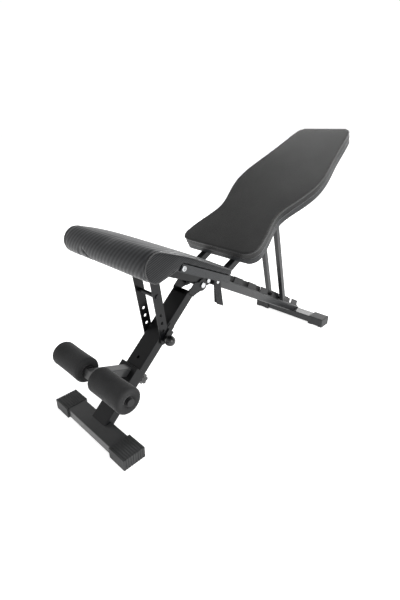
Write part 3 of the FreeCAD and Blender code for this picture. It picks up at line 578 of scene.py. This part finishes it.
def groove(ob, amount, test):
    """Press the skin in along its own normal where the test says how much."""
    bm = bmesh.new()
    bm.from_mesh(ob.data)
    bm.normal_update()
    for v in bm.verts:
        w = test(v.co)
        if w > 0:
            v.co -= v.normal * amount * w
    bm.to_mesh(ob.data)
    bm.free()


def finish_pad(ob, material):
    """One smoothing level, applied so that the mesh is plain."""
    sub = ob.modifiers.new("round", "SUBSURF")
    sub.levels = sub.render_levels = 1
    dg = bpy.context.evaluated_depsgraph_get()
    data = bpy.data.meshes.new_from_object(ob.evaluated_get(dg))
    ob.modifiers.clear()
    ob.vertex_groups.clear()
    ob.data = data
    data.materials.clear()
    data.materials.append(material)
    smooth(ob)


# %% [markdown]
# The seat cushion is one piece: a flat pad that swells into a long roll which hangs over the front. Its ends
# are sewn discs, so each end has a seam all the way round, and the skin pulls in beside it.

# %% Seat cushion
SEAT_HALF = 0.1845
ROLL_S, ROLL_T, ROLL_R = -0.373, 0.013, 0.041
FRAME_TOP = 0.0165
BOARD_S = ROLL_S + ROLL_R * 1.78
BOARD_TOP = FRAME_TOP + 0.022


def seat_held(p):
    _, s, t = seat.local(p)
    return 1.0 if s > BOARD_S and t < BOARD_TOP + 0.004 else 0.0


seat_pad = padded_copy("seat_pad_skin", "seat_cushion", 0.0004, 4.0, 0.0075, seat_held, 2)
groove(seat_pad, 0.0022, lambda p: math.exp(-((abs(p.x) - (SEAT_HALF - 0.014)) / 0.003) ** 2))


def fold(p):
    """A short V where the skin is gathered under the roll."""
    x, s, t = seat.local(p)
    if t > 0.002 or s > -0.355:
        return 0.0
    below = 0.002 - t
    arm = abs(abs(x + 0.088) - below * 1.1)
    return math.exp(-(arm / 0.0045) ** 2) * min(1.0, below / 0.01)


groove(seat_pad, 0.0045, fold)
finish_pad(seat_pad, seat_vinyl)
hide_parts("seat_cushion")
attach(seat_pad, "seat")
print("seat pad", len(seat_pad.data.polygons), "faces")


# %% [markdown]
# A sewn edge is a small rounded bead. A curve with a bevel is the simplest way to make one: it follows the
# outline exactly and its thickness is one number. The curve is turned into a mesh once it is right.

# %% Beads that follow an outline
def snapped(ob, points):
    """Each point moved to the nearest place on a pad's skin."""
    tree = BVHTree.FromPolygons([v.co for v in ob.data.vertices], [p.vertices[:] for p in ob.data.polygons])
    return [tree.find_nearest(p)[0] for p in points]


def bead(name, points, radius, material, body, closed=True):
    data = bpy.data.curves.new(name, "CURVE")
    data.dimensions = "3D"
    data.bevel_depth = radius
    data.bevel_resolution = 3
    sp = data.splines.new("NURBS")
    sp.points.add(len(points) - 1)
    for q, p in zip(sp.points, points):
        q.co = (*p, 1)
    sp.order_u = 3
    sp.use_cyclic_u = closed
    sp.use_endpoint_u = not closed
    sp.resolution_u = 4
    tmp = bpy.data.objects.new(name + "_line", data)
    bpy.context.scene.collection.objects.link(tmp)
    dg = bpy.context.evaluated_depsgraph_get()
    mesh = bpy.data.meshes.new_from_object(tmp.evaluated_get(dg))
    bpy.data.objects.remove(tmp)
    mesh.materials.clear()
    ob = mesh_object(name, mesh, material)
    smooth(ob)
    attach(ob, body)
    return ob


def seat_outline(x):
    pts = []
    for q in (-0.092, -0.13, -0.19, -0.246, -0.29, -0.325, -0.352):
        drop = 0.0 if q > -0.246 else ((-0.246 - q) / 0.106) ** 2 * 0.0055
        pts.append(seat.at(x, q, 0.0605 - drop))
    for a in range(105, 311, 9):
        turn_a = math.radians(a)
        pts.append(seat.at(x, ROLL_S + ROLL_R * math.cos(turn_a), ROLL_T + ROLL_R * math.sin(turn_a)))
    pts.append(seat.at(x, BOARD_S - 0.012, FRAME_TOP))
    return pts


for side, word in ((-1, "left"), (1, "right")):
    ring = snapped(seat_pad, seat_outline(side * SEAT_HALF))
    b = bead("seat_end_seam_" + word, ring, 0.0014, edge_vinyl, "seat", closed=False)

# %% [markdown]
# The backrest pad is an hourglass: square shoulders at the bottom, a waist, wide shoulders and a straight
# taper to the top. It is one foam slab on a board with a rolled edge all round and a second, flatter band
# below it, which is the board's own wrap.

# %% Backrest cushion
BACK_START = 0.050
RAIL_TOP = 0.0125
CUSHION_LOW = RAIL_TOP + 0.018
CUSHION_TOP = RAIL_TOP + 0.048


def back_held(p):
    _, _, t = back.local(p)
    if t < CUSHION_LOW + 0.006:
        return 1.0
    return 0.6 * math.exp(-((t - (CUSHION_TOP - 0.0055)) / 0.003) ** 2)


back_pad = padded_copy("back_pad_skin", "back_cushion", 0.0012, 3.0, 0.006, back_held, 1)
finish_pad(back_pad, back_vinyl)
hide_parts("back_cushion")
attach(back_pad, "backrest")
print("back pad", len(back_pad.data.polygons), "faces")

# %% The backrest's outline, used by the bead and the stitches
BACK_LENGTH = 0.774
HALF_WIDTHS = tuple((share * BACK_LENGTH, w) for share, w in (
    (0.005, 0.136), (0.018, 0.151), (0.042, 0.160), (0.075, 0.159), (0.12, 0.1525), (0.271, 0.128),
    (0.4, 0.156), (0.51, 0.173), (0.736, 0.148), (0.95, 0.120), (0.972, 0.115), (0.989, 0.105), (0.997, 0.091)))


def half_width(s):
    """Half width at s, by a smooth curve through the listed ones."""
    k = HALF_WIDTHS
    if s <= k[0][0]:
        return k[0][1]
    if s >= k[-1][0]:
        return k[-1][1]
    i = max(j for j in range(len(k) - 1) if k[j][0] <= s)
    p0, p1, p2, p3 = k[max(i - 1, 0)], k[i], k[i + 1], k[min(i + 2, len(k) - 1)]
    u = (s - p1[0]) / (p2[0] - p1[0])
    m1 = (p2[1] - p0[1]) / (p2[0] - p0[0]) * (p2[0] - p1[0])
    m2 = (p3[1] - p1[1]) / (p3[0] - p1[0]) * (p2[0] - p1[0])
    return ((2 * u ** 3 - 3 * u ** 2 + 1) * p1[1] + (u ** 3 - 2 * u ** 2 + u) * m1
            + (-2 * u ** 3 + 3 * u ** 2) * p2[1] + (u ** 3 - u ** 2) * m2)


def back_outline(t):
    """The pad's outline at height t over the hinge line."""
    lo, hi = HALF_WIDTHS[0][0], HALF_WIDTHS[-1][0]
    steps = [lo, 0.0085, 0.014, 0.022, 0.032] + [0.045 + (hi - 0.085) * i / 40 for i in range(41)]
    steps += [hi - 0.028, hi - 0.018, hi - 0.010, hi - 0.004, hi]
    ring = [(0.118, 0.0)] + [(half_width(s), s) for s in steps]
    ring.append((0.076, BACK_LENGTH))
    ring = ring + [(-x, s) for x, s in reversed(ring)]
    return [back.at(x, BACK_START + s, t) for x, s in ring]


for name, height in (("back_edge_bead", CUSHION_TOP - 0.006), ("back_lower_bead", CUSHION_LOW + 0.003)):
    b = bead(name, snapped(back_pad, back_outline(height)), 0.0022, edge_vinyl, "backrest")

# %% [markdown]
# Stitches repeat along a line, so Geometry Nodes make them: points every few millimetres along the curve, a
# tiny rod on each, turned to follow the line. The number of rods follows from the pitch, and one tree serves
# every seam. Instances are realised at the end, so that the result is one ordinary mesh.

# %% The stitch tree
stitch = bpy.data.node_groups.new("stitch_row", "GeometryNodeTree")
stitch.interface.new_socket(name="Geometry", in_out="INPUT", socket_type="NodeSocketGeometry")
for socket_name, value in (("Pitch", 0.006), ("Length", 0.004), ("Thickness", 0.0005)):
    sock = stitch.interface.new_socket(name=socket_name, in_out="INPUT", socket_type=FLOAT)
    sock.default_value = value
stitch.interface.new_socket(name="Material", in_out="INPUT", socket_type="NodeSocketMaterial")
stitch.interface.new_socket(name="Geometry", in_out="OUTPUT", socket_type="NodeSocketGeometry")
s_in = stitch.nodes.new("NodeGroupInput")
s_out = stitch.nodes.new("NodeGroupOutput")
to_points = stitch.nodes.new("GeometryNodeCurveToPoints")
to_points.mode = "LENGTH"
rod = stitch.nodes.new("GeometryNodeMeshCylinder")
rod.inputs["Vertices"].default_value = 5
place = stitch.nodes.new("GeometryNodeInstanceOnPoints")
real = stitch.nodes.new("GeometryNodeRealizeInstances")
paint_on = stitch.nodes.new("GeometryNodeSetMaterial")
link(stitch, s_in.outputs["Geometry"], to_points.inputs["Curve"])
link(stitch, s_in.outputs["Pitch"], to_points.inputs["Length"])
link(stitch, s_in.outputs["Length"], rod.inputs["Depth"])
link(stitch, s_in.outputs["Thickness"], rod.inputs["Radius"])
link(stitch, to_points.outputs["Points"], place.inputs["Points"])
link(stitch, to_points.outputs["Rotation"], place.inputs["Rotation"])
link(stitch, rod.outputs["Mesh"], place.inputs["Instance"])
link(stitch, place.outputs["Instances"], real.inputs["Geometry"])
link(stitch, real.outputs["Geometry"], paint_on.inputs["Geometry"])
link(stitch, s_in.outputs["Material"], paint_on.inputs["Material"])
link(stitch, paint_on.outputs["Geometry"], s_out.inputs["Geometry"])


def stitch_row(name, points, body, slot, closed=False, **sizes):
    data = bpy.data.curves.new(name, "CURVE")
    data.dimensions = "3D"
    sp = data.splines.new("POLY")
    sp.points.add(len(points) - 1)
    for q, p in zip(sp.points, points):
        q.co = (*p, 1)
    sp.use_cyclic_u = closed
    tmp = bpy.data.objects.new(name + "_line", data)
    bpy.context.scene.collection.objects.link(tmp)
    mod = tmp.modifiers.new("stitches", "NODES")
    mod.node_group = stitch
    for item in stitch.interface.items_tree:
        if item.item_type == "SOCKET" and item.in_out == "INPUT":
            if item.name == "Material":
                mod[item.identifier] = thread_grey
            elif item.name in sizes:
                mod[item.identifier] = sizes[item.name]
    dg = bpy.context.evaluated_depsgraph_get()
    mesh = bpy.data.meshes.new_from_object(tmp.evaluated_get(dg))
    bpy.data.objects.remove(tmp)
    ob = mesh_object(name, mesh)
    if not mesh.materials:
        mesh.materials.append(thread_grey)
    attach(ob, body)
    print(name, len(mesh.polygons), "faces")
    return ob


stitch_row("back_stitches", snapped(back_pad, back_outline(CUSHION_TOP - 0.0105)), "backrest", "back_vinyl",
           closed=True, Pitch=0.007, Length=0.0045, Thickness=0.0005)

# %% [markdown]
# The leg rollers are plain foam tubes. Spinning one profile round the axle makes the barrel, the soft lip at
# each end and the dished face in a single skin, and the profile can carry the slight waist that a used roller
# gets where the ankles rest.

# %% Foam rollers
axle = Vector(joints["roller_right_spin"]["pos_m"])


def turned(name, profile, steps, centre, material, body):
    """Spin a closed profile of (x, radius) about the axle line."""
    verts, faces = [], []
    n = len(profile)
    for k in range(steps):
        a = 2 * math.pi * k / steps
        for x, r in profile:
            verts.append((x, centre.y + r * math.cos(a), centre.z + r * math.sin(a)))
    for k in range(steps):
        for i in range(n):
            j, kk = (i + 1) % n, (k + 1) % steps
            faces.append((k * n + i, k * n + j, kk * n + j, kk * n + i))
    mesh = bpy.data.meshes.new(name)
    mesh.from_pydata(verts, [], faces)
    bm = bmesh.new()
    bm.from_mesh(mesh)
    bmesh.ops.recalc_face_normals(bm, faces=bm.faces)
    bm.to_mesh(mesh)
    bm.free()
    ob = mesh_object(name, mesh, material)
    smooth(ob)
    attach(ob, body)
    return ob


ROLLER_R = 0.038
LIP = 0.007                # radius of the soft lip at each end
x0, x1 = 0.028, 0.166
for side, word in ((-1, "left"), (1, "right")):
    prof = [(x0 + 0.003, 0.0132), (x0 + 0.001, 0.022), (x0, 0.029)]
    for k in range(0, 7):
        a = math.radians(180 - 15 * k)
        prof.append((x0 + LIP + LIP * math.cos(a), ROLLER_R - LIP + LIP * math.sin(a)))
    for k in range(1, 12):
        u = k / 12
        prof.append((x0 + LIP + (x1 - x0 - 2 * LIP) * u, ROLLER_R - 0.0007 * math.sin(math.pi * u)))
    for k in range(0, 7):
        a = math.radians(90 - 15 * k)
        prof.append((x1 - LIP + LIP * math.cos(a), ROLLER_R - LIP + LIP * math.sin(a)))
    prof += [(x1, 0.029), (x1 - 0.001, 0.022), (x1 - 0.003, 0.0132)]
    r = turned("roller_skin_" + word, [(side * x, rr) for x, rr in prof], 64, axle, foam, "roller_" + word)
    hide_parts("roller_foam_" + word)

# %% [markdown]
# The two bright studs on the seat board are button-head screws. Turned round their own axis, a head has a
# rounded rim and a socket, and the socket is what makes it read as a screw: a pale crescent round a dark pit.

# %% Button heads on the seat board
stud_at = seat.at(0, BOARD_S + 0.009, 0.0275)
for side, word in ((-1, "left"), (1, "right")):
    head = [(0.1830, 0.0003), (0.1830, 0.0075), (0.1842, 0.0075), (0.1856, 0.0069), (0.1864, 0.0058),
            (0.1867, 0.0046), (0.1865, 0.0038), (0.1858, 0.0034), (0.1843, 0.0031), (0.1841, 0.0003)]
    b = turned("board_stud_" + word, [(side * x, r) for x, r in head], 32, stud_at, chrome, "seat")
    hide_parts("board_studs")

# %% [markdown]
# The strap is one length of webbing folded in half and sewn, hung by its eye. It is a ribbon, so it is built
# as one: rows of points down the middle, spread to the strap's width, with a thickness. Two layers that part
# a little towards the bottom read as cloth, where a single block reads as rubber.

# %% Strap
strap_lo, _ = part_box("strap")
bolt_lo, bolt_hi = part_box("strap_bolt")
hang = Vector((0, (bolt_lo.y + bolt_hi.y) / 2, (bolt_lo.z + bolt_hi.z) / 2))
STRAP_HALF = 0.0150
STRAP_LONG = 0.098


def strap_layer(name, x_top, x_low, length, sway):
    rows, cols = 26, 6
    thick = 0.0011
    verts, faces = [], []
    for side_x in (0, 1):
        for i in range(rows + 1):
            u = i / rows
            x = x_top + (x_low - x_top) * u ** 1.5 + side_x * thick
            centre = 0.001 + sway * u ** 1.4
            for j in range(cols + 1):
                w = (j / cols - 0.5) * 2
                y = hang.y + centre + w * (STRAP_HALF + 0.0030 * u)
                slant = -0.010 * w * u ** 3
                z = hang.z + 0.008 - length * u + slant
                verts.append((x + 0.0004 * math.cos(w * 3.1), y, z))
    per = (rows + 1) * (cols + 1)
    for i in range(rows):
        for j in range(cols):
            a = i * (cols + 1) + j
            faces.append((a, a + 1, a + cols + 2, a + cols + 1))
            faces.append((per + a, per + a + cols + 1, per + a + cols + 2, per + a + 1))
    for i in range(rows):
        for j, flip in ((0, False), (cols, True)):
            a = i * (cols + 1) + j
            b = a + cols + 1
            q = (a, b, per + b, per + a)
            faces.append(q[::-1] if flip else q)
    for i, flip in ((0, True), (rows, False)):
        for j in range(cols):
            a = i * (cols + 1) + j
            q = (a, a + 1, per + a + 1, per + a)
            faces.append(q[::-1] if flip else q)
    mesh = bpy.data.meshes.new(name)
    mesh.from_pydata(verts, [], faces)
    bm = bmesh.new()
    bm.from_mesh(mesh)
    bmesh.ops.recalc_face_normals(bm, faces=bm.faces)
    bm.to_mesh(mesh)
    bm.free()
    ob = mesh_object(name, mesh, webbing)
    smooth(ob)
    bev = ob.modifiers.new("soft_edge", "BEVEL")
    bev.width = 0.0003
    bev.segments = 1
    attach(ob, "rear_frame")
    return ob


front_layer = strap_layer("strap_front", strap_lo.x + 0.0030, strap_lo.x + 0.0064, STRAP_LONG, 0.013)
rear_layer = strap_layer("strap_rear", strap_lo.x + 0.0006, strap_lo.x + 0.0012, 0.091, 0.007)
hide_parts("strap")
for w in (-0.0125, 0.0125):
    line = []
    for k in range(11):
        u = k / 10.9
        line.append((strap_lo.x + 0.0043 + 0.0034 * u ** 1.5,
                     hang.y + 0.001 + 0.013 * u ** 1.4 + w * (1 + 0.2 * u),
                     hang.z + 0.008 - STRAP_LONG * u - 0.010 * (w / STRAP_HALF) * u ** 3))
    stitch_row("strap_stitches_%s" % ("a" if w < 0 else "b"), line, "rear_frame", "webbing",
               Pitch=0.0035, Length=0.0024, Thickness=0.0003)
